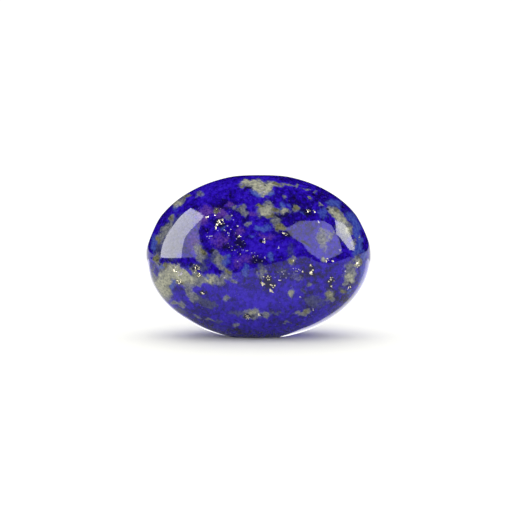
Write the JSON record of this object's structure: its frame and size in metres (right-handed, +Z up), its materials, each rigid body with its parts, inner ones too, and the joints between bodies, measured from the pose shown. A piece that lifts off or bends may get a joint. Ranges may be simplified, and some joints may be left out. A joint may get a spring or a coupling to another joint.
{
  "type": "polished lapis lazuli stone",
  "caption": "Plump polished oval of blue lapis lazuli with pale calcite patches and pyrite flecks, which stands on edge on a small ground flat.",
  "frame": {"origin": "middle of the ground flat that the stone rests on, under the middle of its outline", "axes": "+X along the stone's length, +Y through its depth and away from its best face, +Z up through its height"},
  "size_m": [0.025, 0.0126, 0.0179],
  "materials": {
    "lapis": "polished"
  },
  "bodies": {
    "root": {"lapis_stone": "lapis"}
  },
  "joints": []
}
